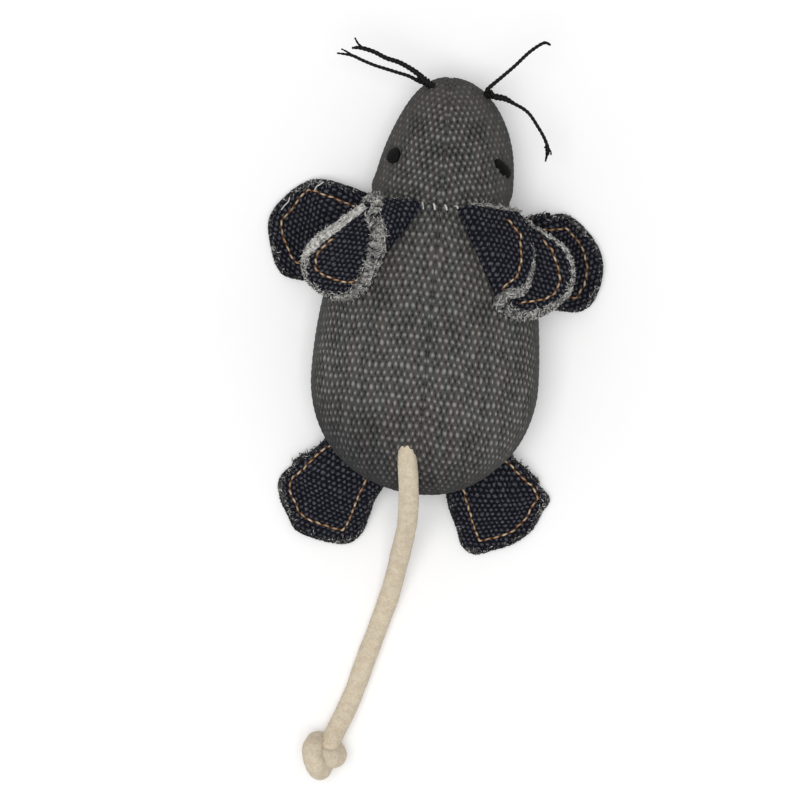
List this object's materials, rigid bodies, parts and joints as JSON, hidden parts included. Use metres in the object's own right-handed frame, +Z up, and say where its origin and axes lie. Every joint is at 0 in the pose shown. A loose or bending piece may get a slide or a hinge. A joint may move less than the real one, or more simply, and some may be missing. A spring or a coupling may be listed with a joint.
{
  "type": "stuffed mouse cat toy",
  "caption": "Stuffed canvas mouse for cats, lying on its belly, with folded denim ears, flat denim paws, thread whiskers and a cord tail that ends in a knot.",
  "frame": {"origin": "on the flat of the belly that the toy lies on, on its centre line and 12 mm ahead of the body's widest place", "axes": "+Y towards the nose, +Z up through the back, +X towards the toy's right side"},
  "size_m": [0.1042, 0.2248, 0.0482],
  "materials": {
    "stuffing": "loose white polyester fibre",
    "canvas": "coarse grey plain-weave canvas",
    "seam_thread": "dark grey sewing thread",
    "eye_thread": "black embroidery thread",
    "whisker_thread": "black waxed thread",
    "denim": "navy denim with a frayed raw edge",
    "topstitch": "tan jeans thread",
    "tail_cotton": "soft cream cotton cord"
  },
  "bodies": {
    "torso": {"body_stuffing": "stuffing", "head_stuffing": "stuffing", "back_left_panel": "canvas", "back_right_panel": "canvas", "head_left_panel": "canvas", "head_right_panel": "canvas", "belly_panel": "canvas", "back_seam_thread": "seam_thread", "head_seam_thread": "seam_thread", "neck_seam_thread": "seam_thread", "belly_seam_left_thread": "seam_thread", "belly_seam_right_thread": "seam_thread", "left_eye": "eye_thread", "right_eye": "eye_thread", "left_whisker_knot": "whisker_thread", "right_whisker_knot": "whisker_thread", "left_upper_whisker": "whisker_thread", "left_lower_whisker": "whisker_thread", "right_upper_whisker": "whisker_thread", "right_lower_whisker": "whisker_thread"},
    "left_ear": {"left_ear_outer_cloth": "denim", "left_ear_inner_cloth": "denim", "left_ear_topstitch": "topstitch"},
    "right_ear": {"right_ear_outer_cloth": "denim", "right_ear_inner_cloth": "denim", "right_ear_topstitch": "topstitch"},
    "left_front_paw": {"left_front_paw_bottom_cloth": "denim", "left_front_paw_top_cloth": "denim", "left_front_paw_topstitch": "topstitch"},
    "right_front_paw": {"right_front_paw_bottom_cloth": "denim", "right_front_paw_top_cloth": "denim", "right_front_paw_topstitch": "topstitch"},
    "left_hind_paw": {"left_hind_paw_bottom_cloth": "denim", "left_hind_paw_top_cloth": "denim", "left_hind_paw_topstitch": "topstitch"},
    "right_hind_paw": {"right_hind_paw_bottom_cloth": "denim", "right_hind_paw_top_cloth": "denim", "right_hind_paw_topstitch": "topstitch"},
    "tail": {"tail_cord": "tail_cotton", "tail_knot": "tail_cotton"}
  },
  "joints": [
    {"name": "left_ear_lift", "type": "hinge", "parent": "torso", "child": "left_ear", "pos_m": [-0.0162, 0.0396, 0.0284], "axis": [-0.9019, -0.0301, -0.4309], "range_deg": [0, 95]},
    {"name": "right_ear_lift", "type": "hinge", "parent": "torso", "child": "right_ear", "pos_m": [0.0162, 0.0396, 0.0284], "axis": [-0.888, 0.0299, 0.4589], "range_deg": [0, 95]},
    {"name": "left_front_paw_lift", "type": "hinge", "parent": "torso", "child": "left_front_paw", "pos_m": [-0.0256, 0.0283, 0.0075], "axis": [0.3605, 0.9314, 0.0501], "range_deg": [0, 32]},
    {"name": "right_front_paw_lift", "type": "hinge", "parent": "torso", "child": "right_front_paw", "pos_m": [0.0256, 0.0283, 0.0075], "axis": [0.3605, -0.9314, -0.0501], "range_deg": [0, 32]},
    {"name": "left_hind_paw_lift", "type": "hinge", "parent": "torso", "child": "left_hind_paw", "pos_m": [-0.0204, -0.039, 0.0084], "axis": [-0.7333, 0.663, -0.1507], "range_deg": [0, 60]},
    {"name": "right_hind_paw_lift", "type": "hinge", "parent": "torso", "child": "right_hind_paw", "pos_m": [0.0204, -0.039, 0.0084], "axis": [-0.7333, -0.663, 0.1507], "range_deg": [0, 60]},
    {"name": "tail_swing", "type": "hinge", "parent": "torso", "child": "tail", "pos_m": [-0.0036, -0.037, 0.034], "axis": [-0.0901, -0.6307, 0.7708], "range_deg": [-15, 25]}
  ]
}
